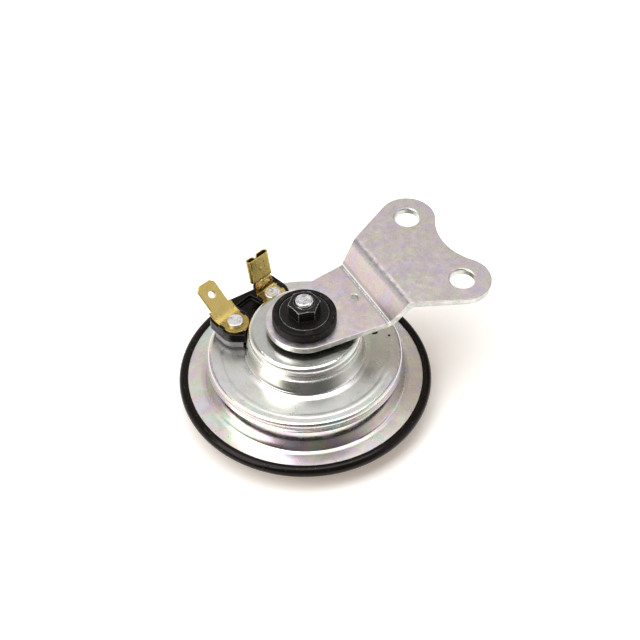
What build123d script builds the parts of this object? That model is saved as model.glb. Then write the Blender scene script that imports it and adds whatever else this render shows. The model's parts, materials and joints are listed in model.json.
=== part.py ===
from build123d import *
import os
from math import asin, atan2, cos, hypot, radians, sin, tan

# Flat electromagnetic car horn with its mounting bracket.
# Millimetres. +Z points up the mounting stud, the origin is on the horn's axis at the flat
# face of the front cover, and the arm of the bracket runs along +X.

os.makedirs("parts", exist_ok=True)

# ---- driving dimensions: the rim, where every sheet of the horn is clamped ----
rim_radius = 37.0
rim_lip_radius = 34.35
rim_low = 5.3
cover_sheet = 0.6
gasket_thick = 0.35
diaphragm_thick = 0.25
housing_sheet = 0.8
rim_clearance = 0.3

cover_flange_top = rim_low + cover_sheet
diaphragm_low = cover_flange_top + gasket_thick
diaphragm_top = diaphragm_low + diaphragm_thick
flange_low = diaphragm_top + gasket_thick
flange_top = flange_low + housing_sheet
rim_top = flange_top + cover_sheet
rim_bore = rim_radius - cover_sheet
stack_radius = rim_bore - rim_clearance
stack_inner_radius = 30.2
rolled_edge_radii = [0, 0, 1.2, 1.5, 0.5]
cut_past = 1.0

# ---- driving dimensions: the stepped housing ----
drum_top = 26.9
drum_radius = 16.05
drum_edge_radius = 1.4
drum_foot_radius = 17.2
upper_ledge = (24.3, 16.3, 23.95)
lower_ledge = (22.95, 16.6, 22.6)
step_top = 17.6
step_radius = 28.1
step_edge_radius = 1.1
step_foot_radius = 29.1
step_ledge = (15.75, 28.6, 15.2)
foot_radius = 0.4
step_inner_top = step_top - housing_sheet
drum_inner_top = drum_top - housing_sheet

# ---- driving dimensions: the front cover ----
cover_face_radius = 26.3
cover_wall_radius = 29.2
cover_slot_count = 8
cover_slot_pitch_radius = 17.5
cover_slot_length = 9.0
cover_slot_width = 3.0
cover_wall_inset = 0.48

# ---- driving dimensions: the M5 stud and what it clamps ----
stud_radius = 2.5
stud_end = 38.7
stud_end_round = 0.55
stud_hole_radius = 2.65
bracket_sheet = 1.8
cushion_radius = 9.15
lower_cushion_thick = 1.7
upper_cushion_thick = 2.5
cushion_edge_radius = 0.7
cushion_recess_radius = 7.4
collar_radius = 3.5
collar_bore_radius = 2.6
grommet_radius = 4.4
washer_radius = 7.2
washer_thick = 0.8
washer_chamfer = 0.2
nut_across_flats = 8.0
nut_height = 4.0
nut_turn = -20.0
nut_chamfer_inset = 0.1
nut_bore_radius = 2.52
nut_bore_chamfer = 0.45

bracket_low = drum_top + lower_cushion_thick
bracket_high = bracket_low + bracket_sheet
cushion_top = bracket_high + upper_cushion_thick
washer_top = cushion_top + washer_thick
nut_top = washer_top + nut_height

# ---- driving dimensions: the bracket ----
arm_end_radius = 11.0
arm_half_width = 13.2
arm_valley_x = 20.1
crest_x = 25.4
crest_half_width = 14.8
joggle_rise = 6.77
bend_inner_radius = 1.0
hole_x = 43.4
hole_half_pitch = 14.55
hole_radius = 3.65
lobe_radius = 8.2
notch_x = 46.9
flare_radius = 12.0
grommet_hole_radius = 4.5
pilot_hole_x = 16.4
pilot_hole_radius = 1.5
hole_edge_break = 0.3

# ---- driving dimensions: the terminal block ----
gasket_sheet = 0.6
gasket_proud = 0.25
base_thick = 2.1
block_thick = 3.1
recess_depth = 1.4
recess_corner_radius = 0.4
block_inner_radius = 17.0
base_inner_radius = 17.75
base_outer_radius = 26.2
lug_rise = 0.8
lug_length = 2.0
lug_width = 1.0
lug_start = 0.15

# ---- driving dimensions: the terminals, 6.3 mm series ----
terminal_turn = 104.0
blade_rivet_xy = (-14.8, 14.3)
receptacle_rivet_xy = (0.0, 18.85)
rivet_shank_radius = 1.25
rivet_bore_radius = 1.3
rivet_head_radius = 2.35
rivet_head_height = 0.9
rivet_edge_chamfer = 0.15
insulator_thick = 0.8
insulator_inner_radius = 16.6
insulator_outer_radius = 24.0
insulator_start = 78
insulator_sweep = 68
insulator_boss_radius = 1.7
housing_rivet_hole_radius = 1.75
rivet_tail_radius = 2.0
rivet_tail_height = 0.7

base_low = step_top + gasket_sheet
base_top = base_low + base_thick
block_top = base_top + block_thick
insulator_low = step_inner_top - insulator_thick

tongue_radius = 4.0
tongue_waist = 7.1
blade_sheet = 0.8
blade_width = 6.3
blade_rise_angle = 34.0
blade_bend_start = 2.3
blade_bend_radius = 5.2
blade_shoulder_run = 1.8
blade_run = 8.07
blade_hole_radius = 1.1
blade_hole_setback = 4.0
blade_tip_chamfer = 1.25

receptacle_sheet = 0.35
receptacle_foot_outer = 3.35
receptacle_foot_inner_radius = 16.5
receptacle_neck_base = 7.0
receptacle_neck_top = 5.6
receptacle_body_low = 4.15
receptacle_lean = 79.0
receptacle_length = 7.75
receptacle_wall = 5.63
receptacle_curl_radius = 0.9
receptacle_slit = -0.95
receptacle_slit_half = 0.15
receptacle_small_curl_radius = 0.8
receptacle_flank_slope = 45
receptacle_bend_radius = 0.8

# ---- driving dimensions: the magnet and the armature ----
pole_radius = 5.0
pole_face = 16.0
pole_face_chamfer = 0.4
bobbin_low = 16.6
bobbin_radius = 13.8
bobbin_flange = 1.0
bobbin_hub_radius = 6.1
winding_radius = 13.0
fit_gap = 0.05
armature_gap = 0.7
armature_radius = 7.4
armature_flange_radius = 10.0
armature_flange_low = 11.2
armature_step = 14.95
armature_hub_radius = 5.0
armature_shaft_radius = 2.45
armature_shaft_end = 3.3
clamp_washer_radius = 6.5
clamp_washer_thick = 0.7
diaphragm_rise = 1.85
diaphragm_hub_radius = 9.0
diaphragm_flat_radius = 29.2
armature_nut_height = 3.6

armature_top = pole_face - armature_gap
hub_low = diaphragm_low + diaphragm_rise
hub_top = hub_low + diaphragm_thick
armature_seat = hub_top + clamp_washer_thick
lower_clamp_low = hub_low - clamp_washer_thick
armature_nut_low = lower_clamp_low - armature_nut_height

# ---- driving dimensions: the contact set, on a radial line under the step ----
contact_turn = -11.5
adjuster_reach = 21.3
adjuster_hole_radius = 1.1
adjuster_radius = 1.45
adjuster_clear_radius = 1.95
adjuster_slot = 0.5
adjuster_slot_depth = 0.7
contact_base_thick = 0.9
contact_base_reach = 22.6
contact_base_length = 8.0
thin_insulator = 0.4
blade_spring = 0.3
thick_insulator = 0.8
arm_thick = 0.8
low_insulator = 0.5
plate_thick = 0.8
stack_reach = 25.0
stack_width = 8.8
stack_length = 3.8
stack_rivet_radius = 1.0
stack_rivet_head = 1.7
stack_hole_radius = 1.2
contact_reach = 14.5
contact_radius = 1.3
contact_height = 0.4
contact_blade_half = [(8.4, -2.0), (17.5, -2.6), (19.5, -3.6), (26.5, -3.6)]
contact_arm_reach = 19.6
contact_arm_length = 13.6
contact_arm_width = 7.2
stack_rivet_head_height = 0.6

contact_base_low = step_inner_top - contact_base_thick
contact_blade_top = contact_base_low - thin_insulator
contact_blade_low = contact_blade_top - blade_spring
arm_top = contact_blade_low - thick_insulator
arm_low = arm_top - arm_thick
low_insulator_low = arm_low - low_insulator
plate_low = low_insulator_low - plate_thick


# ================= housing =================
# Each ledge is (height where it starts, radius that it reaches, height where it ends).
housing_outside = [
    (stud_hole_radius, drum_top),
    (drum_radius, drum_top),
    (drum_radius, upper_ledge[0]),
    (upper_ledge[1], upper_ledge[2]),
    (upper_ledge[1], lower_ledge[0]),
    (lower_ledge[1], lower_ledge[2]),
    (drum_foot_radius, step_top),
    (step_radius, step_top),
    (step_radius, step_ledge[0]),
    (step_ledge[1], step_ledge[2]),
    (step_foot_radius, flange_top),
    (stack_radius, flange_top),
]
housing_fillets = [drum_edge_radius, 0, 0, 0, 0, foot_radius, step_edge_radius, 0, 0, foot_radius]
housing_inside = [
    (stud_hole_radius, drum_inner_top),
    (drum_radius - housing_sheet, drum_inner_top),
    (drum_foot_radius - housing_sheet, step_inner_top),
    (step_radius - housing_sheet, step_inner_top),
    (step_foot_radius - housing_sheet, flange_low),
    (stack_radius, flange_low),
]
with BuildPart() as housing:
    with BuildSketch(Plane.XZ):
        with BuildLine():
            outside = FilletPolyline(*housing_outside, radius=housing_fillets)
            inside = Polyline(*housing_inside)
            Line(outside @ 0, inside @ 0)
            Line(outside @ 1, inside @ 1)
        make_face()
    revolve(axis=Axis.Z)
    with BuildSketch(Plane.XY.offset(step_inner_top - cut_past)):
        with Locations(blade_rivet_xy, receptacle_rivet_xy):
            Circle(housing_rivet_hole_radius)
        with PolarLocations(adjuster_reach, 1, start_angle=contact_turn):
            Circle(adjuster_hole_radius)
    extrude(amount=housing_sheet + 2 * cut_past, mode=Mode.SUBTRACT)

housing.part.label = "housing"
export_step(housing.part, "parts/housing.step")

# ================= front cover, rolled over the rim =================
cover_outside = [
    (0, 0),
    (cover_face_radius, 0),
    (cover_wall_radius, rim_low),
    (rim_radius, rim_low),
    (rim_radius, rim_top),
    (rim_lip_radius, rim_top),
    (rim_lip_radius, flange_top),
]
cover_inside = [
    (0, cover_sheet),
    (cover_face_radius - cover_wall_inset, cover_sheet),
    (cover_wall_radius - cover_wall_inset, cover_flange_top),
    (rim_bore, cover_flange_top),
    (rim_bore, flange_top),
    (rim_lip_radius, flange_top),
]
with BuildPart() as front_cover:
    with BuildSketch(Plane.XZ):
        with BuildLine():
            outside = FilletPolyline(*cover_outside, radius=rolled_edge_radii)
            inside = Polyline(*cover_inside)
            Line(outside @ 0, inside @ 0)
        make_face()
    revolve(axis=Axis.Z)
    with BuildSketch(Plane.XY):
        with PolarLocations(cover_slot_pitch_radius, cover_slot_count):
            SlotOverall(cover_slot_length, cover_slot_width)
    extrude(amount=cover_sheet, mode=Mode.SUBTRACT)

front_cover.part.label = "front_cover"
export_step(front_cover.part, "parts/front_cover.step")

# ================= gaskets and diaphragm, clamped in the rim =================
with BuildPart() as gasket_front:
    with BuildSketch(Plane.XY.offset(cover_flange_top)):
        Circle(stack_radius)
        Circle(stack_inner_radius, mode=Mode.SUBTRACT)
    extrude(amount=gasket_thick)

gasket_front.part.label = "gasket_front"
export_step(gasket_front.part, "parts/gasket_front.step")

with BuildPart() as gasket_rear:
    with BuildSketch(Plane.XY.offset(diaphragm_top)):
        Circle(stack_radius)
        Circle(stack_inner_radius, mode=Mode.SUBTRACT)
    extrude(amount=gasket_thick)

gasket_rear.part.label = "gasket_rear"
export_step(gasket_rear.part, "parts/gasket_rear.step")


def diaphragm_corners(height):
    """Half section of one face of the dished diaphragm, from the rim in to the hub."""
    return [
        (stack_radius, diaphragm_low + height),
        (diaphragm_flat_radius, diaphragm_low + height),
        (diaphragm_hub_radius, hub_low + height),
        (armature_shaft_radius + fit_gap, hub_low + height),
    ]


with BuildPart() as diaphragm:
    with BuildSketch(Plane.XZ):
        with BuildLine():
            under = Polyline(*diaphragm_corners(0))
            over = Polyline(*diaphragm_corners(diaphragm_thick))
            Line(under @ 0, over @ 0)
            Line(under @ 1, over @ 1)
        make_face()
    revolve(axis=Axis.Z)

diaphragm.part.label = "diaphragm"
export_step(diaphragm.part, "parts/diaphragm.step")

# ================= pole core with its stud, bobbin and winding =================
with BuildPart() as pole_core:
    with BuildSketch(Plane.XY.offset(pole_face)):
        Circle(pole_radius)
    extrude(amount=drum_inner_top - pole_face)
    with BuildSketch(Plane.XY.offset(drum_inner_top)):
        Circle(stud_radius)
    extrude(amount=stud_end - drum_inner_top)
    fillet(pole_core.edges().group_by(Axis.Z)[-1], radius=stud_end_round)
    chamfer(pole_core.edges().group_by(Axis.Z)[0], length=pole_face_chamfer)

pole_core.part.label = "pole_core"
export_step(pole_core.part, "parts/pole_core.step")

with BuildPart() as bobbin:
    for flange_low_face in (bobbin_low, drum_inner_top - bobbin_flange):
        with BuildSketch(Plane.XY.offset(flange_low_face)):
            Circle(bobbin_radius)
        extrude(amount=bobbin_flange)
    with BuildSketch(Plane.XY.offset(bobbin_low)):
        Circle(bobbin_hub_radius)
    extrude(amount=drum_inner_top - bobbin_low)
    with BuildSketch(Plane.XY.offset(bobbin_low)):
        Circle(pole_radius + fit_gap)
    extrude(amount=drum_inner_top - bobbin_low, mode=Mode.SUBTRACT)

bobbin.part.label = "bobbin"
export_step(bobbin.part, "parts/bobbin.step")

with BuildPart() as coil_winding:
    with BuildSketch(Plane.XY.offset(bobbin_low + bobbin_flange)):
        Circle(winding_radius)
        Circle(bobbin_hub_radius, mode=Mode.SUBTRACT)
    extrude(amount=drum_inner_top - bobbin_low - 2 * bobbin_flange)

coil_winding.part.label = "coil_winding"
export_step(coil_winding.part, "parts/coil_winding.step")

# ================= armature and its clamping pieces =================
with BuildPart() as armature:
    with BuildSketch(Plane.XZ):
        with BuildLine():
            Polyline(
                (0, armature_shaft_end),
                (armature_shaft_radius, armature_shaft_end),
                (armature_shaft_radius, armature_seat),
                (armature_hub_radius, armature_seat),
                (armature_hub_radius, armature_flange_low),
                (armature_flange_radius, armature_flange_low),
                (armature_flange_radius, armature_step),
                (armature_radius, armature_step),
                (armature_radius, armature_top),
                (0, armature_top),
                close=True,
            )
        make_face()
    revolve(axis=Axis.Z)

armature.part.label = "armature"
export_step(armature.part, "parts/armature.step")

for washer_name, washer_low in (
    ("upper_clamp_washer", hub_top),
    ("lower_clamp_washer", lower_clamp_low),
):
    with BuildPart() as clamp_washer:
        with BuildSketch(Plane.XY.offset(washer_low)):
            Circle(clamp_washer_radius)
            Circle(armature_shaft_radius + fit_gap, mode=Mode.SUBTRACT)
        extrude(amount=clamp_washer_thick)
    clamp_washer.part.label = washer_name
    export_step(clamp_washer.part, f"parts/{washer_name}.step")

with BuildPart() as armature_nut:
    with BuildSketch(Plane.XY.offset(armature_nut_low)):
        RegularPolygon(nut_across_flats / 2, 6, major_radius=False)
        Circle(armature_shaft_radius + fit_gap, mode=Mode.SUBTRACT)
    extrude(amount=armature_nut_height)

armature_nut.part.label = "armature_nut"
export_step(armature_nut.part, "parts/armature_nut.step")

# ================= contact set =================
# Each piece lies on a plane turned to the contact line, so its sketch has X outwards.
def contact_plane(height):
    return Plane.XY.rotated((0, 0, contact_turn)).offset(height)


with BuildPart() as contact_base:
    with BuildSketch(contact_plane(contact_base_low)):
        with Locations((contact_base_reach, 0)):
            Rectangle(contact_base_length, stack_width)
        with Locations((adjuster_reach, 0)):
            Circle(adjuster_radius + fit_gap, mode=Mode.SUBTRACT)
        with Locations((stack_reach, 0)):
            Circle(stack_rivet_radius, mode=Mode.SUBTRACT)
    extrude(amount=contact_base_thick)

contact_base.part.label = "contact_base"
export_step(contact_base.part, "parts/contact_base.step")

with BuildPart() as contact_blade:
    with BuildSketch(contact_plane(contact_blade_low)):
        with BuildLine():
            Polyline(*contact_blade_half, *[(x, -y) for x, y in reversed(contact_blade_half)], close=True)
        make_face()
        with Locations((adjuster_reach, 0)):
            Circle(adjuster_clear_radius, mode=Mode.SUBTRACT)
        with Locations((stack_reach, 0)):
            Circle(stack_hole_radius, mode=Mode.SUBTRACT)
    extrude(amount=blade_spring)
    with BuildSketch(contact_plane(contact_blade_low)):
        with Locations((contact_reach, 0)):
            Circle(contact_radius)
    extrude(amount=-contact_height)

contact_blade.part.label = "contact_blade"
export_step(contact_blade.part, "parts/contact_blade.step")

with BuildPart() as fixed_contact_arm:
    with BuildSketch(contact_plane(arm_low)):
        with Locations((contact_arm_reach, 0)):
            Rectangle(contact_arm_length, contact_arm_width)
        with Locations((stack_reach, 0)):
            Circle(stack_hole_radius, mode=Mode.SUBTRACT)
    extrude(amount=arm_thick)

fixed_contact_arm.part.label = "fixed_contact_arm"
export_step(fixed_contact_arm.part, "parts/fixed_contact_arm.step")

with BuildPart() as fixed_contact_point:
    with BuildSketch(contact_plane(arm_top)):
        with Locations((contact_reach, 0)):
            Circle(contact_radius)
    extrude(amount=contact_height)

fixed_contact_point.part.label = "fixed_contact_point"
export_step(fixed_contact_point.part, "parts/fixed_contact_point.step")

for layer_name, layer_low, layer_thick in (
    ("upper_insulator", contact_blade_top, thin_insulator),
    ("middle_insulator", arm_top, thick_insulator),
    ("lower_insulator", low_insulator_low, low_insulator),
    ("contact_clamp_plate", plate_low, plate_thick),
):
    with BuildPart() as stack_layer:
        with BuildSketch(contact_plane(layer_low)):
            with Locations((stack_reach, 0)):
                Rectangle(stack_length, stack_width)
                Circle(stack_rivet_radius, mode=Mode.SUBTRACT)
        extrude(amount=layer_thick)
    stack_layer.part.label = layer_name
    export_step(stack_layer.part, f"parts/{layer_name}.step")

with BuildPart() as contact_rivet:
    with BuildSketch(contact_plane(plate_low)):
        with Locations((stack_reach, 0)):
            Circle(stack_rivet_radius)
    extrude(amount=step_inner_top - plate_low)
    with BuildSketch(contact_plane(plate_low)):
        with Locations((stack_reach, 0)):
            Circle(stack_rivet_head)
    extrude(amount=-stack_rivet_head_height)

contact_rivet.part.label = "contact_rivet"
export_step(contact_rivet.part, "parts/contact_rivet.step")

with BuildPart() as adjusting_screw:
    with BuildSketch(contact_plane(arm_top)):
        with Locations((adjuster_reach, 0)):
            Circle(adjuster_radius)
    extrude(amount=step_inner_top - arm_top)
    with BuildSketch(contact_plane(step_inner_top)):
        with Locations((adjuster_reach, 0)):
            Rectangle(3 * adjuster_radius, adjuster_slot)
    extrude(amount=-adjuster_slot_depth, mode=Mode.SUBTRACT)

adjusting_screw.part.label = "adjusting_screw"
export_step(adjusting_screw.part, "parts/adjusting_screw.step")

# ================= terminal block on its gasket =================
# Each terminal has its own plan: local X runs outwards from its rivet, local Y across it.
def terminal_plan(rivet_xy, height):
    outwards = (cos(radians(terminal_turn)), sin(radians(terminal_turn)), 0)
    return Plane(origin=(*rivet_xy, height), x_dir=outwards, z_dir=(0, 0, 1))


# The block's outline, anticlockwise from its near end beside the drum.
block_outline = [
    (-12.7, 7.85),
    (-19.05, 11.75),
    (-20.7, 20.2),
    (-12.8, 23.5),
    (-3.4, 23.75),
    (-3.3, 25.6),
    (3.6, 26.6),
    (5.35, 20.4),
    (4.5, 14.0),
]
block_corner_radii = [0.3, 4.2, 2.2, 2.5, 0.3, 1.5, 1.3, 4.0, 0.3]
recess_outline = [(-8.7, 9.7), (-11.3, 20.6), (-7.2, 21.9), (-5.6, 22.3), (-3.9, 18.3), (-3.0, 12.0)]

with BuildPart() as block_seal:
    with BuildSketch(Plane.XY.offset(step_top)):
        with BuildLine():
            FilletPolyline(*block_outline, radius=block_corner_radii, close=True)
        make_face()
        offset(amount=gasket_proud)
        Circle(base_outer_radius + gasket_proud, mode=Mode.INTERSECT)
        Circle(base_inner_radius, mode=Mode.SUBTRACT)
        with Locations(blade_rivet_xy, receptacle_rivet_xy):
            Circle(rivet_bore_radius, mode=Mode.SUBTRACT)
    extrude(amount=gasket_sheet)

block_seal.part.label = "block_seal"
export_step(block_seal.part, "parts/block_seal.step")

with BuildPart() as block_base:
    with BuildSketch(Plane.XY.offset(base_low)):
        with BuildLine():
            FilletPolyline(*block_outline, radius=block_corner_radii, close=True)
        make_face()
        Circle(base_outer_radius, mode=Mode.INTERSECT)
        Circle(base_inner_radius, mode=Mode.SUBTRACT)
        with Locations(blade_rivet_xy, receptacle_rivet_xy):
            Circle(rivet_bore_radius, mode=Mode.SUBTRACT)
    extrude(amount=base_thick)

block_base.part.label = "block_base"
export_step(block_base.part, "parts/block_base.step")

with BuildPart() as terminal_block:
    with BuildSketch(Plane.XY.offset(base_top)):
        with BuildLine():
            FilletPolyline(*block_outline, radius=block_corner_radii, close=True)
        make_face()
        Circle(block_inner_radius, mode=Mode.SUBTRACT)
    extrude(amount=block_thick)
    with BuildSketch(Plane.XY.offset(block_top)):
        with BuildLine():
            FilletPolyline(*recess_outline, radius=recess_corner_radius, close=True)
        make_face()
    extrude(amount=-recess_depth, mode=Mode.SUBTRACT)
    # pairs of lugs that keep the terminals from turning
    for rivet_xy in (blade_rivet_xy, receptacle_rivet_xy):
        with BuildSketch(terminal_plan(rivet_xy, block_top)):
            with Locations((lug_start + lug_length / 2, 0)):
                with GridLocations(0, tongue_waist + lug_width + 2 * fit_gap, 1, 2):
                    Rectangle(lug_length, lug_width)
        extrude(amount=lug_rise)
    with BuildSketch(Plane.XY.offset(block_top)):
        with Locations(blade_rivet_xy, receptacle_rivet_xy):
            Circle(rivet_bore_radius)
    extrude(amount=-block_thick, mode=Mode.SUBTRACT)

terminal_block.part.label = "terminal_block"
export_step(terminal_block.part, "parts/terminal_block.step")

with BuildPart() as inner_insulator:
    with BuildSketch(Plane.XY.offset(insulator_low)):
        with BuildLine():
            outer_arc = CenterArc((0, 0), insulator_outer_radius, insulator_start, insulator_sweep)
            inner_arc = CenterArc((0, 0), insulator_inner_radius, insulator_start, insulator_sweep)
            Line(outer_arc @ 0, inner_arc @ 0)
            Line(outer_arc @ 1, inner_arc @ 1)
        make_face()
    extrude(amount=insulator_thick)
    with BuildSketch(Plane.XY.offset(step_inner_top)):
        with Locations(blade_rivet_xy, receptacle_rivet_xy):
            Circle(insulator_boss_radius)
    extrude(amount=housing_sheet)
    with BuildSketch(Plane.XY.offset(insulator_low)):
        with Locations(blade_rivet_xy, receptacle_rivet_xy):
            Circle(rivet_bore_radius)
    extrude(amount=insulator_thick + housing_sheet, mode=Mode.SUBTRACT)

inner_insulator.part.label = "inner_insulator"
export_step(inner_insulator.part, "parts/inner_insulator.step")


# ================= terminals =================
# A side plane cuts each terminal lengthways: local X runs outwards from the rivet, Y is up.
def terminal_side(rivet_xy):
    out_x = cos(radians(terminal_turn))
    out_y = sin(radians(terminal_turn))
    return Plane(origin=(*rivet_xy, block_top), x_dir=(out_x, out_y, 0), z_dir=(out_y, -out_x, 0))


def sloping_plane(side, start, slope):
    """A plane that lies in a sheet: local X up its slope, local Z out of its face."""
    origin = side.from_local_coords((start.X, start.Y, 0))
    uphill = side.from_local_coords((start.X + cos(slope), start.Y + sin(slope), 0)) - origin
    return Plane(origin=origin, x_dir=uphill, z_dir=side.z_dir.cross(uphill))


def tongue_outline(length):
    """Plan of a terminal's tongue: round end, waist between the lugs, then full width."""
    Circle(tongue_radius)
    Rectangle(lug_start + lug_length, tongue_waist, align=(Align.MIN, Align.CENTER))
    waist_end = lug_start + lug_length + fit_gap
    with Locations((waist_end, 0)):
        Rectangle(length - waist_end, 2 * tongue_radius, align=(Align.MIN, Align.CENTER))
    with Locations((lug_start + lug_length / 2, 0)):
        with GridLocations(0, tongue_waist + lug_width, 1, 2):
            Rectangle(lug_length + 2 * fit_gap, lug_width, mode=Mode.SUBTRACT)


rise = radians(blade_rise_angle)
blade_side = terminal_side(blade_rivet_xy)
blade_far = blade_shoulder_run + blade_run

with BuildPart() as blade_terminal:
    with BuildSketch(blade_side):
        with BuildLine():
            tongue = Line((0, blade_sheet / 2), (blade_bend_start, blade_sheet / 2))
            bend = JernArc(tongue @ 1, tongue % 1, blade_bend_radius, blade_rise_angle)
            Line(bend @ 1, bend @ 1 + (bend % 1) * blade_far)
        trace(line_width=blade_sheet)
    extrude(amount=tongue_radius, both=True)
    blade_plane = sloping_plane(blade_side, bend @ 1, rise)

    # the flat tongue: its waist and its round end
    with BuildSketch(terminal_plan(blade_rivet_xy, block_top)):
        Rectangle(blade_bend_start, 2 * tongue_radius, align=(Align.MIN, Align.CENTER))
    extrude(amount=blade_sheet, mode=Mode.SUBTRACT)
    with BuildSketch(terminal_plan(blade_rivet_xy, block_top)):
        tongue_outline(blade_bend_start + lug_start + fit_gap)
        Circle(rivet_bore_radius, mode=Mode.SUBTRACT)
    extrude(amount=blade_sheet)

    # the blade: shoulders, tip corners and detent hole, cut square to its slope
    with BuildSketch(blade_plane):
        shoulder = tongue_radius - blade_width / 2
        with Locations((blade_shoulder_run + blade_run / 2, 0)):
            with GridLocations(0, blade_width + shoulder, 1, 2):
                Rectangle(blade_run, shoulder)
        for side in (1, -1):
            with BuildLine():
                Polyline(
                    (blade_far - blade_tip_chamfer, side * blade_width / 2),
                    (blade_far, side * blade_width / 2),
                    (blade_far, side * (blade_width / 2 - blade_tip_chamfer)),
                    close=True,
                )
            make_face()
        with Locations((blade_far - blade_hole_setback, 0)):
            Circle(blade_hole_radius)
    extrude(amount=blade_sheet, both=True, mode=Mode.SUBTRACT)

blade_terminal.part.label = "blade_terminal"
export_step(blade_terminal.part, "parts/blade_terminal.step")

lean = radians(receptacle_lean)
receptacle_side = terminal_side(receptacle_rivet_xy)
fold_start = receptacle_foot_outer - receptacle_bend_radius

with BuildPart() as receptacle_terminal:
    with BuildSketch(terminal_plan(receptacle_rivet_xy, block_top)):
        tongue_outline(fold_start)
        Circle(rivet_bore_radius, mode=Mode.SUBTRACT)
    extrude(amount=receptacle_sheet)
    with BuildSketch(Plane.XY.offset(block_top)):
        Circle(receptacle_foot_inner_radius)
    extrude(amount=receptacle_sheet, mode=Mode.SUBTRACT)
    with BuildSketch(receptacle_side):
        with BuildLine():
            fold_low = (fold_start, receptacle_sheet / 2)
            fold = JernArc(fold_low, (1, 0), receptacle_bend_radius, receptacle_lean)
        trace(line_width=receptacle_sheet)
    extrude(amount=receptacle_neck_base / 2, both=True)

    # the neck narrows from the fold up to the rolled body
    neck_rise = (receptacle_body_low - (fold @ 1).Y) / sin(lean)
    neck_plane = sloping_plane(receptacle_side, fold @ 1, lean)
    with BuildSketch(neck_plane):
        with BuildLine():
            Polyline(
                (0, receptacle_neck_base / 2),
                (neck_rise, receptacle_neck_top / 2),
                (neck_rise, -receptacle_neck_top / 2),
                (0, -receptacle_neck_base / 2),
                close=True,
            )
        make_face()
    extrude(amount=receptacle_sheet / 2, both=True)

    # the rolled body: a flat wall with a curl along each side, both ending at a slit
    body_start = fold @ 1 + (fold % 1) * neck_rise
    body_origin = receptacle_side.from_local_coords((body_start.X, body_start.Y, 0))
    body_plane = Plane(origin=body_origin, x_dir=receptacle_side.z_dir, z_dir=neck_plane.x_dir)
    half_wall = receptacle_wall / 2
    curl_depth = 2 * receptacle_curl_radius
    small_end = receptacle_slit - receptacle_slit_half
    wide_end = receptacle_slit + receptacle_slit_half
    slope = radians(receptacle_flank_slope)
    flank_rise = curl_depth - receptacle_curl_radius * (1 - cos(slope)) - receptacle_sheet
    wide_back = wide_end + flank_rise / tan(slope) + receptacle_curl_radius * sin(slope)
    with BuildSketch(body_plane):
        with BuildLine():
            Line((-half_wall, 0), (half_wall, 0))
            JernArc((-half_wall, 0), (-1, 0), receptacle_curl_radius, -180)
            small_back = small_end - receptacle_small_curl_radius
            Line((-half_wall, curl_depth), (small_back, curl_depth))
            small_turn = JernArc((small_back, curl_depth), (1, 0), receptacle_small_curl_radius, -90)
            Line(small_turn @ 1, (small_end, receptacle_sheet))
            JernArc((half_wall, 0), (1, 0), receptacle_curl_radius, 180)
            Line((half_wall, curl_depth), (wide_back, curl_depth))
            wide_turn = JernArc((wide_back, curl_depth), (-1, 0), receptacle_curl_radius,
                                receptacle_flank_slope)
            Line(wide_turn @ 1, (wide_end, receptacle_sheet))
        trace(line_width=receptacle_sheet)
    extrude(amount=receptacle_length)

receptacle_terminal.part.label = "receptacle_terminal"
export_step(receptacle_terminal.part, "parts/receptacle_terminal.step")

# ================= terminal rivets, clenched under the inner insulator =================
for rivet_name, rivet_xy, sheet in (
    ("blade_rivet", blade_rivet_xy, blade_sheet),
    ("receptacle_rivet", receptacle_rivet_xy, receptacle_sheet),
):
    with BuildPart() as terminal_rivet:
        with BuildSketch(Plane.XY.offset(insulator_low)):
            with Locations(rivet_xy):
                Circle(rivet_shank_radius)
        extrude(amount=block_top + sheet - insulator_low)
        with BuildSketch(Plane.XY.offset(insulator_low)):
            with Locations(rivet_xy):
                Circle(rivet_tail_radius)
        extrude(amount=-rivet_tail_height)
        with BuildSketch(Plane.XY.offset(block_top + sheet)):
            with Locations(rivet_xy):
                Circle(rivet_head_radius)
        extrude(amount=rivet_head_height)
        chamfer(terminal_rivet.edges().group_by(Axis.Z)[-1], length=rivet_edge_chamfer)
    terminal_rivet.part.label = rivet_name
    export_step(terminal_rivet.part, f"parts/{rivet_name}.step")

# ================= cushions, collar, washer and nut on the stud =================
with BuildPart() as lower_cushion:
    with BuildSketch(Plane.XY.offset(drum_top)):
        Circle(cushion_radius)
        Circle(collar_radius + fit_gap, mode=Mode.SUBTRACT)
    extrude(amount=lower_cushion_thick)

lower_cushion.part.label = "lower_cushion"
export_step(lower_cushion.part, "parts/lower_cushion.step")

with BuildPart() as upper_cushion:
    with BuildSketch(Plane.XY.offset(bracket_high)):
        Circle(cushion_radius)
    extrude(amount=washer_top - bracket_high)
    fillet(upper_cushion.edges().group_by(Axis.Z)[-1], radius=cushion_edge_radius)
    with BuildSketch(Plane.XY.offset(cushion_top)):
        Circle(cushion_recess_radius)
    extrude(amount=washer_thick, mode=Mode.SUBTRACT)
    with BuildSketch(Plane.XY.offset(bracket_high)):
        Circle(grommet_radius)
    extrude(amount=2 * fit_gap - bracket_sheet)
    with BuildSketch(Plane.XY.offset(bracket_low)):
        Circle(collar_radius + fit_gap)
    extrude(amount=cushion_top - bracket_low, mode=Mode.SUBTRACT)

upper_cushion.part.label = "upper_cushion"
export_step(upper_cushion.part, "parts/upper_cushion.step")

with BuildPart() as spacer_collar:
    with BuildSketch(Plane.XY.offset(drum_top)):
        Circle(collar_radius)
        Circle(collar_bore_radius, mode=Mode.SUBTRACT)
    extrude(amount=cushion_top - drum_top)

spacer_collar.part.label = "spacer_collar"
export_step(spacer_collar.part, "parts/spacer_collar.step")

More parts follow.
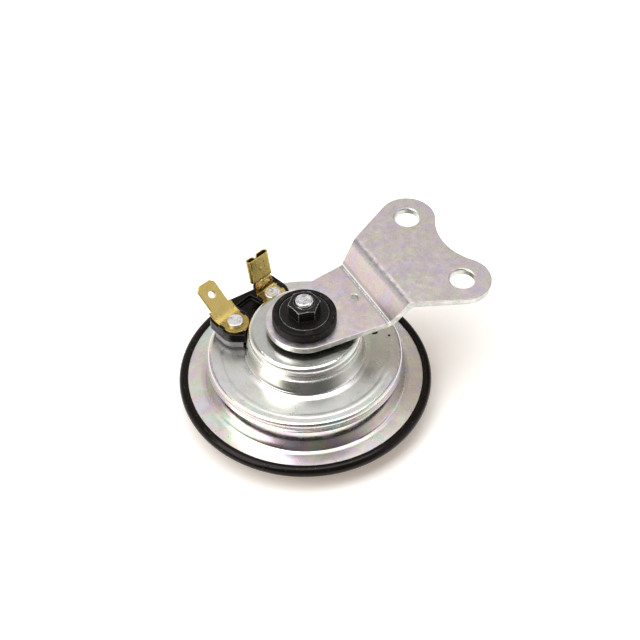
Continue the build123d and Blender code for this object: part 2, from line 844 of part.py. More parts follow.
with BuildPart() as flat_washer:
    with BuildSketch(Plane.XY.offset(cushion_top)):
        Circle(washer_radius)
        Circle(collar_bore_radius, mode=Mode.SUBTRACT)
    extrude(amount=washer_thick)
    chamfer(flat_washer.edges().group_by(Axis.Z)[-1].sort_by(SortBy.RADIUS)[-1], length=washer_chamfer)

flat_washer.part.label = "flat_washer"
export_step(flat_washer.part, "parts/flat_washer.step")

nut_corner_radius = nut_across_flats / 2 / cos(radians(30))
nut_chamfer_start = nut_across_flats / 2 - nut_chamfer_inset
nut_chamfer_drop = (nut_corner_radius - nut_chamfer_start) * tan(radians(30))
with BuildPart() as stud_nut:
    with BuildSketch(Plane.XY.offset(washer_top)):
        RegularPolygon(nut_across_flats / 2, 6, major_radius=False, rotation=nut_turn)
    extrude(amount=nut_height)
    with BuildSketch(Plane.XZ):
        with BuildLine():
            Polyline(
                (0, washer_top),
                (nut_corner_radius + nut_chamfer_inset, washer_top),
                (nut_corner_radius + nut_chamfer_inset, nut_top - nut_chamfer_drop),
                (nut_chamfer_start, nut_top),
                (0, nut_top),
                close=True,
            )
        make_face()
    revolve(axis=Axis.Z, mode=Mode.INTERSECT)
    with BuildSketch(Plane.XY.offset(washer_top)):
        Circle(nut_bore_radius)
    extrude(amount=nut_height, mode=Mode.SUBTRACT)
    chamfer(stud_nut.edges().filter_by(GeomType.CIRCLE).group_by(Axis.Z)[-1].sort_by(
        SortBy.RADIUS)[0], length=nut_bore_chamfer)

stud_nut.part.label = "stud_nut"
export_step(stud_nut.part, "parts/stud_nut.step")

# ================= mounting bracket: one joggled sheet =================
joggle_angle = atan2(joggle_rise, crest_x - arm_valley_x)
bend_shift = bracket_sheet * tan(joggle_angle / 2)
arm_back_x = -arm_end_radius - cut_past
plate_end_x = hole_x + lobe_radius + cut_past
crest_high = bracket_high + joggle_rise
bend_outer_radius = bend_inner_radius + bracket_sheet

# plan outline: arm end, arm side, flare, lobe round a hole, notch between the lobes
side_angle = atan2(arm_half_width, arm_valley_x) - asin(
    arm_end_radius / hypot(arm_valley_x, arm_half_width))
arm_tangent = (-arm_end_radius * sin(side_angle), arm_end_radius * cos(side_angle))
to_hole = (hole_x - crest_x, hole_half_pitch - crest_half_width)
flare_angle = atan2(to_hole[1], to_hole[0]) + asin(lobe_radius / hypot(*to_hole))
lobe_tangent = (
    hole_x - lobe_radius * sin(flare_angle),
    hole_half_pitch + lobe_radius * cos(flare_angle),
)
notch_gap = notch_x - hole_x
notch_radius = (notch_gap**2 + hole_half_pitch**2 - lobe_radius**2) / (2 * (lobe_radius - notch_gap))
notch_centre_x = notch_x + notch_radius
notch_share = lobe_radius / (notch_radius + lobe_radius)
notch_tangent = (
    hole_x + (notch_centre_x - hole_x) * notch_share,
    hole_half_pitch * (1 - notch_share),
)
lobe_tip_angle = radians(20)
notch_middle_y = notch_tangent[1] / 2
notch_middle_x = notch_centre_x - notch_radius * cos(asin(notch_middle_y / notch_radius))
arm_end_middle = arm_end_radius * cos(radians(45))
lobe_tip = (
    hole_x + lobe_radius * cos(lobe_tip_angle),
    hole_half_pitch + lobe_radius * sin(lobe_tip_angle),
)

with BuildPart() as mounting_bracket:
    with BuildSketch(Plane.XZ):
        with BuildLine():
            over = FilletPolyline(
                (arm_back_x, bracket_high),
                (arm_valley_x, bracket_high),
                (crest_x, crest_high),
                (plate_end_x, crest_high),
                radius=[bend_inner_radius, bend_outer_radius],
            )
            under = FilletPolyline(
                (arm_back_x, bracket_low),
                (arm_valley_x + bend_shift, bracket_low),
                (crest_x + bend_shift, crest_high - bracket_sheet),
                (plate_end_x, crest_high - bracket_sheet),
                radius=[bend_outer_radius, bend_inner_radius],
            )
            Line(over @ 0, under @ 0)
            Line(over @ 1, under @ 1)
        make_face()
    extrude(amount=hole_half_pitch + lobe_radius + cut_past, both=True)

    with BuildSketch(Plane.XY.offset(bracket_low - cut_past)):
        with BuildLine():
            ThreePointArc((-arm_end_radius, 0), (-arm_end_middle, arm_end_middle), arm_tangent)
            FilletPolyline(
                arm_tangent,
                (arm_valley_x, arm_half_width),
                (crest_x, crest_half_width),
                lobe_tangent,
                radius=[flare_radius, flare_radius],
            )
            ThreePointArc(lobe_tangent, lobe_tip, notch_tangent)
            ThreePointArc(
                notch_tangent,
                (notch_middle_x, notch_middle_y),
                (notch_x, 0),
            )
            mirror(about=Plane.XZ)
        make_face()
    extrude(amount=joggle_rise + bracket_sheet + 2 * cut_past, mode=Mode.INTERSECT)

    with BuildSketch(Plane.XY.offset(bracket_low)):
        Circle(grommet_hole_radius)
        with Locations((pilot_hole_x, 0)):
            Circle(pilot_hole_radius)
        with Locations((hole_x, hole_half_pitch), (hole_x, -hole_half_pitch)):
            Circle(hole_radius)
    extrude(amount=joggle_rise + bracket_sheet, mode=Mode.SUBTRACT)
    hole_rims = mounting_bracket.edges().filter_by(GeomType.CIRCLE).filter_by(
        lambda rim: abs(rim.radius - hole_radius) < fit_gap).group_by(Axis.Z)[-1]
    chamfer(hole_rims, length=hole_edge_break)

mounting_bracket.part.label = "mounting_bracket"
export_step(mounting_bracket.part, "parts/mounting_bracket.step")
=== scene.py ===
import json
from math import cos, pi, radians, sin

import bpy
from mathutils import Matrix, Vector


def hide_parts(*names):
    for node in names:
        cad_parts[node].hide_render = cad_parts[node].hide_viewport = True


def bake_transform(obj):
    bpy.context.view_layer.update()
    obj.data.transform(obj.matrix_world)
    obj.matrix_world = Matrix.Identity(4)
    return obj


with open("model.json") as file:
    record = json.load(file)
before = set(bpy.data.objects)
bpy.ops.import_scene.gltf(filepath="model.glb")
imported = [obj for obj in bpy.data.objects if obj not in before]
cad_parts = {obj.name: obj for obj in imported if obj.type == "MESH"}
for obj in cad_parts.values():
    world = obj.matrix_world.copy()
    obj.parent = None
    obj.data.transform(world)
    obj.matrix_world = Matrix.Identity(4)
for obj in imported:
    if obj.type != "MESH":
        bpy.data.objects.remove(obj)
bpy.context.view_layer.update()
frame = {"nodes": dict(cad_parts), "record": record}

MM = 0.001
nodes = frame["nodes"]

# ================= camera =================
# Fitted to the photo's rims and holes: place in metres, angles in degrees, lens in millimetres.
camera_place = Vector((-0.13953, -0.24897, 0.34355))
camera_azimuth = -30.147
camera_elevation = 47.671
camera_roll = -0.349
camera_lens = 84.375
camera_sensor = 36


def make_camera():
    """The photo's camera, turned on its spot by azimuth, elevation and roll."""
    data = bpy.data.cameras.new("camera")
    data.lens = camera_lens
    data.sensor_width = camera_sensor
    data.clip_start = 0.01
    data.clip_end = 10
    camera = bpy.data.objects.new("camera", data)
    turn = Matrix.Rotation(radians(camera_azimuth), 4, "Z")
    tilt = Matrix.Rotation(radians(90 - camera_elevation), 4, "X")
    roll = Matrix.Rotation(radians(camera_roll), 4, "Z")
    camera.matrix_world = Matrix.Translation(camera_place) @ turn @ tilt @ roll
    bpy.context.scene.collection.objects.link(camera)
    bpy.context.scene.camera = camera


# ================= node helpers =================
def put(tree, socket, value):
    """Sets a socket to a number, colour or vector, or joins it to another node's output."""
    if isinstance(value, bpy.types.NodeSocket):
        tree.links.new(value, socket)
    elif isinstance(value, tuple) and len(value) == 3 and socket.type == "RGBA":
        socket.default_value = (*value, 1)
    else:
        socket.default_value = value


def math_node(tree, operation, *values):
    """The result of a Math node; each value is a number or another node's output."""
    node = tree.nodes.new("ShaderNodeMath")
    node.operation = operation
    for socket, value in zip(node.inputs, values):
        put(tree, socket, value)
    return node.outputs[0]


def dot_node(tree, first, second):
    """How far one vector reaches along another."""
    node = tree.nodes.new("ShaderNodeVectorMath")
    node.operation = "DOT_PRODUCT"
    put(tree, node.inputs[0], first)
    put(tree, node.inputs[1], second)
    return node.outputs["Value"]


def range_node(tree, value, low, high, to_low=0.0, to_high=1.0, kind="SMOOTHSTEP"):
    """Maps low..high onto to_low..to_high, held at both ends."""
    node = tree.nodes.new("ShaderNodeMapRange")
    node.interpolation_type = kind
    put(tree, node.inputs["Value"], value)
    put(tree, node.inputs["From Min"], low)
    put(tree, node.inputs["From Max"], high)
    put(tree, node.inputs["To Min"], to_low)
    put(tree, node.inputs["To Max"], to_high)
    return node.outputs["Result"]


class Shader:
    """A material's node tree with short calls to add and join its nodes."""

    def __init__(self, name):
        self.material = bpy.data.materials.new(name)
        self.material.use_nodes = True
        self.tree = self.material.node_tree
        self.tree.nodes.clear()
        output = self.tree.nodes.new("ShaderNodeOutputMaterial")
        self.surface = self.tree.nodes.new("ShaderNodeBsdfPrincipled")
        self.put(output.inputs["Surface"], self.surface.outputs["BSDF"])
        coordinates = self.tree.nodes.new("ShaderNodeTexCoord")
        millimetres = self.tree.nodes.new("ShaderNodeVectorMath")
        millimetres.operation = "SCALE"
        millimetres.inputs["Scale"].default_value = 1 / MM
        self.put(millimetres.inputs[0], coordinates.outputs["Object"])
        self.place = millimetres.outputs["Vector"]

    def put(self, socket, value):
        """Sets or joins a socket of this tree."""
        put(self.tree, socket, value)

    def noise(self, scale, detail=3.0, roughness=0.55, place=None, distortion=0.0):
        """Soft noise from 0 to 1; scale is in patches to a millimetre."""
        node = self.tree.nodes.new("ShaderNodeTexNoise")
        self.put(node.inputs["Vector"], place or self.place)
        node.inputs["Scale"].default_value = scale
        node.inputs["Detail"].default_value = detail
        node.inputs["Roughness"].default_value = roughness
        node.inputs["Distortion"].default_value = distortion
        return node.outputs["Fac"]

    def cells(self, scale):
        """Distance to the nearest of many scattered points, which small values turn into specks."""
        node = self.tree.nodes.new("ShaderNodeTexVoronoi")
        self.put(node.inputs["Vector"], self.place)
        node.inputs["Scale"].default_value = scale
        return node.outputs["Distance"]

    def math(self, operation, *values):
        """The result of a Math node in this tree."""
        return math_node(self.tree, operation, *values)

    def product(self, *values):
        """All the values multiplied, which joins masks."""
        total = values[0]
        for value in values[1:]:
            total = self.math("MULTIPLY", total, value)
        return total

    def length(self, across, along):
        """The length of a flat step made of two legs."""
        return self.math("SQRT", self.math("ADD", self.product(across, across),
                                           self.product(along, along)))

    def spread(self, value, low, high, to_low=0.0, to_high=1.0, kind="SMOOTHSTEP"):
        """Maps low..high onto to_low..to_high, held at both ends."""
        return range_node(self.tree, value, low, high, to_low, to_high, kind)

    def drift(self, scale, low, high, detail=4):
        """A value that drifts between low and high in soft patches."""
        return self.spread(self.noise(scale, detail), 0.3, 0.7, low, high)

    def tinge(self, colour, mask, amount, other):
        """A colour with a share of another mixed in where a mask is 1."""
        return self.mix(self.product(mask, amount), colour, other)

    def mix(self, amount, first, second):
        """Mixes two colours."""
        node = self.tree.nodes.new("ShaderNodeMix")
        node.data_type = "RGBA"
        self.put(node.inputs["Factor"], amount)
        self.put(node.inputs[6], first)
        self.put(node.inputs[7], second)
        return node.outputs[2]

    def ramp(self, value, stops):
        """Colour ramp; stops are (position, (r, g, b))."""
        node = self.tree.nodes.new("ShaderNodeValToRGB")
        elements = node.color_ramp.elements
        while len(elements) < len(stops):
            elements.new(1.0)
        for element, (position, colour) in zip(elements, stops):
            element.position = position
            element.color = (*colour, 1)
        self.put(node.inputs["Fac"], value)
        return node.outputs["Color"]

    def stretch(self, scale, turn=(0, 0, 0), place=None):
        """The place, turned by degrees and scaled along each axis."""
        node = self.tree.nodes.new("ShaderNodeMapping")
        self.put(node.inputs["Vector"], place or self.place)
        node.inputs["Scale"].default_value = scale
        node.inputs["Rotation"].default_value = [radians(v) for v in turn]
        return node.outputs["Vector"]

    def axes(self):
        """The place's x, y and z."""
        node = self.tree.nodes.new("ShaderNodeSeparateXYZ")
        self.put(node.inputs[0], self.place)
        return node.outputs

    def vector(self, x, y, z):
        """A vector from three numbers or outputs."""
        node = self.tree.nodes.new("ShaderNodeCombineXYZ")
        for socket, value in zip(node.inputs, (x, y, z)):
            self.put(socket, value)
        return node.outputs[0]

    def radius(self, x0=0.0, y0=0.0):
        """Distance from an upright axis, in millimetres."""
        x, y, _ = self.axes()
        return self.length(self.math("SUBTRACT", x, x0), self.math("SUBTRACT", y, y0))

    def around(self):
        """Polar place: (angle in radians x 20, radius, height), for marks round the axis."""
        x, y, z = self.axes()
        angle = self.math("ARCTAN2", y, x)
        return self.vector(self.product(angle, 20.0), self.radius(), z)

    def facing_up(self):
        """1 where the surface faces straight up, 0 where it is upright, -1 straight down."""
        node = self.tree.nodes.new("ShaderNodeNewGeometry")
        split = self.tree.nodes.new("ShaderNodeSeparateXYZ")
        self.put(split.inputs[0], node.outputs["Normal"])
        return split.outputs["Z"]

    def facing(self, direction):
        """How far the true surface faces along a direction, from 0 to 1, either way."""
        node = self.tree.nodes.new("ShaderNodeNewGeometry")
        return self.math("ABSOLUTE", dot_node(self.tree, node.outputs["True Normal"], direction))

    def bevel(self, reach, samples):
        """The surface's direction, turned towards the average of what lies within reach."""
        node = self.tree.nodes.new("ShaderNodeBevel")
        node.samples = samples
        node.inputs["Radius"].default_value = reach * MM
        return node.outputs["Normal"]

    def edge(self, reach):
        """1 on an edge, falling to 0 within reach millimetres of it."""
        own_normal = self.tree.nodes.new("ShaderNodeNewGeometry").outputs["Normal"]
        agreement = dot_node(self.tree, self.bevel(reach, 12), own_normal)
        return self.spread(agreement, 0.995, 0.80)

    def rounded(self, reach):
        """The surface's direction with its sharp edges rounded off over reach millimetres."""
        return self.bevel(reach, 8)

    def spot(self, x0, y0, size, soft=0.1):
        """1 within size millimetres of an upright line, 0 outside."""
        return self.spread(self.radius(x0, y0), size, size + soft, 1.0, 0.0)

    def band(self, value, middle, half, soft):
        """1 where a value is within half of the middle, falling to 0 over soft."""
        off = self.math("ABSOLUTE", self.math("SUBTRACT", value, middle))
        return self.spread(off, half, half + soft, 1.0, 0.0)

    def bump(self, height, strength, depth, under=None):
        """Bump from a height of 0 to 1 that is depth millimetres deep."""
        node = self.tree.nodes.new("ShaderNodeBump")
        node.inputs["Strength"].default_value = strength
        node.inputs["Distance"].default_value = depth * MM
        self.put(node.inputs["Height"], height)
        if under is not None:
            self.put(node.inputs["Normal"], under)
        return node.outputs["Normal"]

    def finish(self, **values):
        """Sets the shader's inputs and gives the material."""
        names = {"colour": "Base Color", "metallic": "Metallic", "roughness": "Roughness",
                 "normal": "Normal", "specular": "Specular IOR Level"}
        for key, value in values.items():
            self.put(self.surface.inputs[names[key]], value)
        return self.material


# ================= materials =================
# Forms of the CAD parts that the finishes follow: heights, radii and places in millimetres.
step_flare_heights = (11.6, 15.2)
drum_flare_heights = (19.6, 22.6)
step_ledge_height = 16.4
drum_ledge_height = 24.7
rounded_ledges = ((15.1, 15.85, 0.22), (22.5, 23.05, 0.20), (23.85, 24.4, 0.10))  # from, to, depth
drum_foot_height = 18.0
drum_fillet_radii = (17.0, 19.3)
step_flat_ring_radius = 24.6  # a faint pressed ring
satin_radii = (16.5, 18.0)  # the drum's top is smoother than the flats round it
step_foot_height = 8.0
step_fillet_radii = (28.9, 30.7)
film_radii = (24.0, 30.0)  # the film is faint inside and strong on the flange
dark_spot_place = (23.8, -7.7)  # a dark spot in the step's flat
bracket_joggle = (20.0, 27.0)  # the arm is before it and the plate beyond, along x
bracket_inner_bend = 20.1
bracket_outer_bend = 25.6
pilot_hole = (16.4, 0.0)
stud_pitch = 0.8
block_top = 23.4
receptacle_rivet_y = 18.85
terminal_turn = radians(104.0)  # which way both terminals point, round from +x


def passivated(shader, patch, strength, grey):
    """The grey of zinc plate under the faint pink, green and gold film of passivation."""
    film = shader.noise(patch, 2.5, 0.55, distortion=0.6)
    tint = shader.ramp(film, [
        (0.30, (0.66, 0.80, 0.82)),
        (0.38, (0.72, 0.84, 0.72)),
        (0.44, (0.86, 0.80, 0.66)),
        (0.52, (0.86, 0.68, 0.75)),
        (0.62, (0.78, 0.70, 0.84)),
        (0.70, (0.70, 0.80, 0.76)),
    ])
    return shader.mix(strength, grey, tint)


def zinc_housing():
    """Drawn and plated steel: satin on the flats, smoother on the walls, tinted on the flange."""
    s = Shader("zinc_housing")
    radius = s.radius()
    flat = s.spread(s.facing_up(), 0.90, 0.985)
    grey = s.mix(s.noise(0.3, 4), (0.69, 0.695, 0.655), (0.79, 0.79, 0.75))
    film = s.spread(radius, *film_radii, 0.16, 0.74)
    colour = passivated(s, 0.14, film, grey)
    fine = s.spread(s.noise(2.4, 3, 0.6), 0.30, 0.70, 0.20, 0.0)
    colour = s.tinge(colour, fine, flat, (0.40, 0.40, 0.37))
    specks = s.spread(s.cells(0.10), 0.022, 0.012)
    # A dark spot coloured on the step's flat, with no relief.
    dark_spot = s.spot(*dark_spot_place, 0.35)
    marks = s.math("MAXIMUM", specks, dark_spot)
    colour = s.mix(marks, colour, (0.06, 0.05, 0.045))
    grain = s.noise(4.0, 3, 0.6)
    drawn = s.noise(1.0, 3, 0.6, place=s.stretch((5.0, 0.15, 0.15), place=s.around()))
    rough = s.drift(0.35, 0.10, 0.15)
    rough = s.math("ADD", rough, s.product(marks, 0.3))
    height = s.axes()["Z"]
    ledge = s.math("MAXIMUM", s.band(height, step_ledge_height, 0.9, 0.3),
                   s.band(height, drum_ledge_height, 1.9, 0.3))
    satin = s.product(flat, s.spread(radius, *satin_radii, 0.08, 0.17))
    rough = s.math("ADD", rough, s.math("MAXIMUM", satin, s.product(ledge, 0.14)))
    # The upper part of each drawn wall leans in a little more, the ledges are rounded over, and
    # soft fillets run round the feet.
    step_flare = s.spread(height, *step_flare_heights, 1.0, 0.0, kind="LINEAR")
    drum_flare = s.spread(height, *drum_flare_heights, 1.0, 0.0, kind="LINEAR")
    drum_fillet = s.product(s.spread(radius, *drum_fillet_radii, 1.0, 0.0),
                            s.spread(height, drum_foot_height, drum_foot_height + 0.4, 1.0, 0.0))
    step_fillet = s.product(s.spread(radius, *step_fillet_radii, 1.0, 0.0),
                              s.spread(height, step_foot_height, step_foot_height + 0.4, 1.0, 0.0))
    normal = s.bump(step_flare, 1.0, 0.24)
    normal = s.bump(drum_flare, 1.0, 0.20, normal)
    ring = s.band(radius, step_flat_ring_radius, 0.1, 0.9)
    normal = s.bump(s.product(ring, flat), 1.0, 0.05, normal)
    for low, high, depth in rounded_ledges:
        normal = s.bump(s.spread(height, low, high, 1.0, 0.0), 1.0, depth, normal)
    normal = s.bump(drum_fillet, 1.0, 0.33, normal)
    normal = s.bump(step_fillet, 1.0, 0.22, normal)
    normal = s.bump(drawn, 0.05, 0.03, normal)
    normal = s.bump(grain, 0.12, 0.03, normal)
    return s.finish(colour=colour, metallic=1.0, roughness=rough, normal=normal)


def zinc_bracket():
    """Plated sheet with a mottled film, two pressed bends, cut sides and worn edges."""
    s = Shader("zinc_bracket")
    x, _, _ = s.axes()
    plate = s.spread(x, *bracket_joggle)
    grey = s.mix(plate, (0.70, 0.56, 0.59), (0.71, 0.66, 0.68))
    around_stud = s.spread(s.radius(), 10.0, 16.0, 1.0, 0.0)
    grey = s.mix(around_stud, grey, (0.76, 0.74, 0.73))
    # Painted shade: the underside is coloured darker and greener.
    painted_shade_below = s.spread(s.facing_up(), -0.5, 0.1, 1.0, 0.0)
    grey = s.mix(painted_shade_below, grey, (0.34, 0.36, 0.30))
    fine = s.spread(s.noise(1.6, 4, 0.65), 0.40, 0.68, 0.0, 0.42)
    grey = s.mix(fine, grey, (0.86, 0.80, 0.77))
    film = s.noise(0.22, 4.0, 0.62, distortion=0.7)
    tint = s.ramp(film, [
        (0.32, (0.62, 0.72, 0.66)),
        (0.42, (0.78, 0.71, 0.56)),
        (0.49, (0.76, 0.64, 0.64)),
        (0.57, (0.74, 0.58, 0.70)),
        (0.66, (0.64, 0.64, 0.80)),
        (0.76, (0.66, 0.74, 0.70)),
    ])
    tinted = s.spread(s.facing_up(), -0.3, 0.2, 0.12, 0.58)
    colour = s.mix(tinted, grey, tint)
    streaks = s.noise(1.0, 4, 0.6, place=s.stretch((0.07, 1.2, 1.2), turn=(0, 0, 8)))
    gold = s.spread(s.noise(0.08, 2), 0.42, 0.60, 0.15, 0.75)
    streaks = s.spread(streaks, 0.52, 0.70)
    colour = s.tinge(colour, streaks, gold, (0.76, 0.62, 0.42))
    grain = s.spread(s.noise(2.2, 4, 0.7), 0.36, 0.56, 0.26, 0.0)
    colour = s.mix(grain, colour, (0.36, 0.33, 0.33))
    specks = s.spread(s.cells(0.5), 0.06, 0.03)
    colour = s.tinge(colour, specks, 0.5, (0.30, 0.27, 0.25))
    # A band of painted shade runs along the outer bend, broken by a grain.
    ragged = s.math("ADD", x, s.product(s.noise(1.2, 4, 0.7), 1.2))
    painted_shade_outer_bend = s.product(s.band(ragged, bracket_outer_bend, 0.35, 0.7),
                           s.spread(s.noise(2.6, 4, 0.7), 0.30, 0.60, 0.45, 0.9))
    colour = s.mix(painted_shade_outer_bend, colour, (0.38, 0.38, 0.39))
    # The inner bend has a painted highlight between two lines of painted shade.
    painted_highlight_bend = s.band(x, bracket_inner_bend, 0.28, 0.12)
    painted_shade_beside_bend = s.math("MAXIMUM", s.band(x, bracket_inner_bend - 0.75, 0.2, 0.25),
                    s.band(x, bracket_inner_bend + 0.7, 0.12, 0.25))
    colour = s.tinge(colour, painted_shade_beside_bend, 0.55, (0.40, 0.38, 0.46))
    colour = s.mix(painted_highlight_bend, colour, (0.97, 0.97, 0.97))
    # Cut sides are greyer and patchy.
    side = s.spread(s.math("ABSOLUTE", s.facing_up()), 0.25, 0.5, 1.0, 0.0)
    cut = s.mix(s.spread(s.noise(0.35, 4, 0.6), 0.35, 0.65), (0.50, 0.52, 0.49), (0.76, 0.79, 0.73))
    colour = s.tinge(colour, side, 0.85, cut)
    # Painted highlight along the edges of the arm, and painted shade along those of the plate.
    edge = s.product(s.edge(0.30), s.spread(s.noise(0.4, 3), 0.40, 0.60, 0.95, 0.45))
    colour = s.mix(edge, colour, s.mix(plate, (0.90, 0.92, 0.88), (0.36, 0.37, 0.40)))
    # Painted reflection: the wall of the pilot hole is coloured near white.
    inside = s.product(s.spot(*pilot_hole, 1.9), side)
    colour = s.mix(inside, colour, (0.93, 0.93, 0.92))
    rough = s.drift(0.6, 0.28, 0.38, detail=5)
    rough = s.math("SUBTRACT", rough, s.product(painted_highlight_bend, 0.12))
    normal = s.bump(s.noise(2.4, 4, 0.65), 0.30, 0.05, s.rounded(0.3))
    normal = s.bump(s.noise(0.5, 3, 0.5), 0.12, 0.15, normal)
    return s.finish(colour=colour, metallic=1.0, roughness=rough, normal=normal)


def zinc_stud():
    """Bright plate with worn patches, and the thread drawn on the sides in painted shade and bump
    relief.
    """
    s = Shader("zinc_stud")
    colour = s.mix(s.noise(0.7, 3), (0.74, 0.72, 0.76), (0.93, 0.92, 0.90))
    worn = s.spread(s.noise(0.5, 3, 0.55), 0.50, 0.58)
    colour = s.tinge(colour, worn, 0.75, (0.36, 0.37, 0.42))
    x, y, z = s.axes()
    thread = s.math("SINE", s.math("ADD", s.product(z, 2 * pi / stud_pitch),
                                   s.math("ARCTAN2", y, x)))
    side = s.spread(s.facing_up(), 0.35, 0.55, 1.0, 0.0)
    # Painted shade between the turns of the thread on the sides; the same mask drives the bump.
    shaded_groove = s.product(s.spread(thread, -0.2, 0.9), side)
    colour = s.tinge(colour, shaded_groove, 0.6, (0.16, 0.15, 0.15))
    rough = s.drift(1.2, 0.18, 0.34)
    normal = s.bump(s.noise(0.8, 3, 0.5), 0.5, 0.25)
    normal = s.bump(shaded_groove, 0.8, 0.3, normal)
    return s.finish(colour=colour, metallic=1.0, roughness=rough, normal=normal)


def black_paint():
    """Smooth brown-black paint with a little dust."""
    s = Shader("black_paint")
    dust = s.spread(s.cells(0.8), 0.10, 0.05)
    colour = s.mix(s.noise(0.4, 4), (0.005, 0.0030, 0.0022), (0.011, 0.007, 0.0055))
    colour = s.tinge(colour, dust, 0.5, (0.30, 0.28, 0.25))
    rough = s.math("ADD", s.drift(0.8, 0.08, 0.15), s.product(dust, 0.4))
    normal = s.bump(s.noise(1.6, 3, 0.5), 0.20, 0.05)
    return s.finish(colour=colour, metallic=0.0, roughness=rough, normal=normal, specular=0.16)


def black_oxide():
    """Blackened steel, worn to bright metal along its edges."""
    s = Shader("black_oxide")
    edge = s.edge(0.5)
    worn = s.product(edge, s.spread(s.noise(0.8, 4), 0.30, 0.50, 0.55, 1.0))
    colour = s.mix(s.noise(0.9, 4), (0.004, 0.0035, 0.003), (0.012, 0.011, 0.010))
    colour = s.mix(worn, colour, (0.80, 0.77, 0.75))
    rough = s.drift(1.5, 0.22, 0.36)
    normal = s.bump(s.noise(3.0, 4, 0.6), 0.25, 0.05, s.rounded(0.22))
    return s.finish(colour=colour, metallic=worn, roughness=rough, normal=normal, specular=0.2)


def rubber():
    """Black rubber with bloom, brown patches and dust."""
    s = Shader("rubber")
    dust = s.spread(s.cells(0.55), 0.10, 0.04)
    bloom = s.noise(0.5, 5, 0.6)
    colour = s.mix(bloom, (0.002, 0.0018, 0.0015), (0.009, 0.0075, 0.007))
    colour = s.tinge(colour, dust, 0.6, (0.34, 0.30, 0.27))
    brown_patch = s.spread(s.noise(0.35, 5, 0.65), 0.52, 0.66)
    colour = s.tinge(colour, brown_patch, 0.6, (0.040, 0.024, 0.020))
    rough = s.drift(2.0, 0.38, 0.55, detail=3)
    normal = s.bump(s.noise(4.0, 4, 0.6), 0.35, 0.05, s.rounded(0.3))
    return s.finish(colour=colour, metallic=0.0, roughness=rough, normal=normal, specular=0.14)


def block_plastic():
    """Glossy black moulding with softened edges and a painted highlight along them."""
    s = Shader("block_plastic")
    colour = s.mix(s.noise(0.6, 4), (0.002, 0.0015, 0.001), (0.006, 0.005, 0.004))
    # Painted highlight: the edges are coloured grey.
    edge = s.edge(0.4)
    colour = s.tinge(colour, edge, 0.5, (0.16, 0.15, 0.14))
    rough = s.drift(1.0, 0.05, 0.14)
    normal = s.bump(s.noise(0.5, 2, 0.5), 0.5, 0.25, s.rounded(0.45))
    return s.finish(colour=colour, metallic=0.0, roughness=rough, normal=normal, specular=0.16)


def base_plastic():
    """Grey moulding with softened edges."""
    s = Shader("base_plastic")
    colour = s.mix(s.noise(0.8, 4), (0.24, 0.24, 0.245), (0.40, 0.40, 0.405))
    rough = s.drift(1.0, 0.22, 0.36)
    normal = s.bump(s.noise(1.5, 3, 0.5), 0.5, 0.12, s.rounded(0.4))
    return s.finish(colour=colour, metallic=0.0, roughness=rough, normal=normal)


def seal_fibre():
    """Matt grey fibre sheet."""
    s = Shader("seal_fibre")
    colour = s.mix(s.noise(3.0, 4), (0.05, 0.05, 0.055), (0.13, 0.13, 0.14))
    normal = s.bump(s.noise(5.0, 4, 0.6), 0.4, 0.06)
    return s.finish(colour=colour, metallic=0.0, roughness=0.7, normal=normal)


def tarnished_with_shaded_sides(s, low, high):
    """Brass between two colours, with brown spots and painted shade on its cut sides."""
    colour = s.mix(s.noise(0.45, 5, 0.6), low, high)
    spots = s.spread(s.cells(0.30), 0.085, 0.04)
    colour = s.tinge(colour, spots, 0.75, (0.14, 0.075, 0.03))
    # Painted shade: the cut sides across the terminal are coloured dark brown.
    width = (sin(terminal_turn), -cos(terminal_turn), 0.0)
    side = s.spread(s.facing(width), 0.6, 0.85)
    return s.tinge(colour, side, 0.8, (0.16, 0.09, 0.03))


def brass_blade():
    """The blade: bright brass, with painted shade low down where it bends up."""
    s = Shader("brass_blade")
    colour = tarnished_with_shaded_sides(s, (0.62, 0.46, 0.15), (0.80, 0.61, 0.22))
    height = s.math("SUBTRACT", s.axes()["Z"], block_top)
    # Painted shade, darkest low down and fading out where the blade rises.
    painted_shade_low = s.spread(height, 0.9, 1.6, 0.75, 0.0)
    colour = s.mix(painted_shade_low, colour, (0.36, 0.255, 0.07))
    rough = s.drift(1.2, 0.24, 0.38)
    normal = s.bump(s.noise(2.0, 3, 0.5), 0.12, 0.03, s.rounded(0.2))
    normal = s.bump(s.noise(0.4, 3, 0.5), 0.2, 0.2, normal)
    return s.finish(colour=colour, metallic=1.0, roughness=rough, normal=normal)


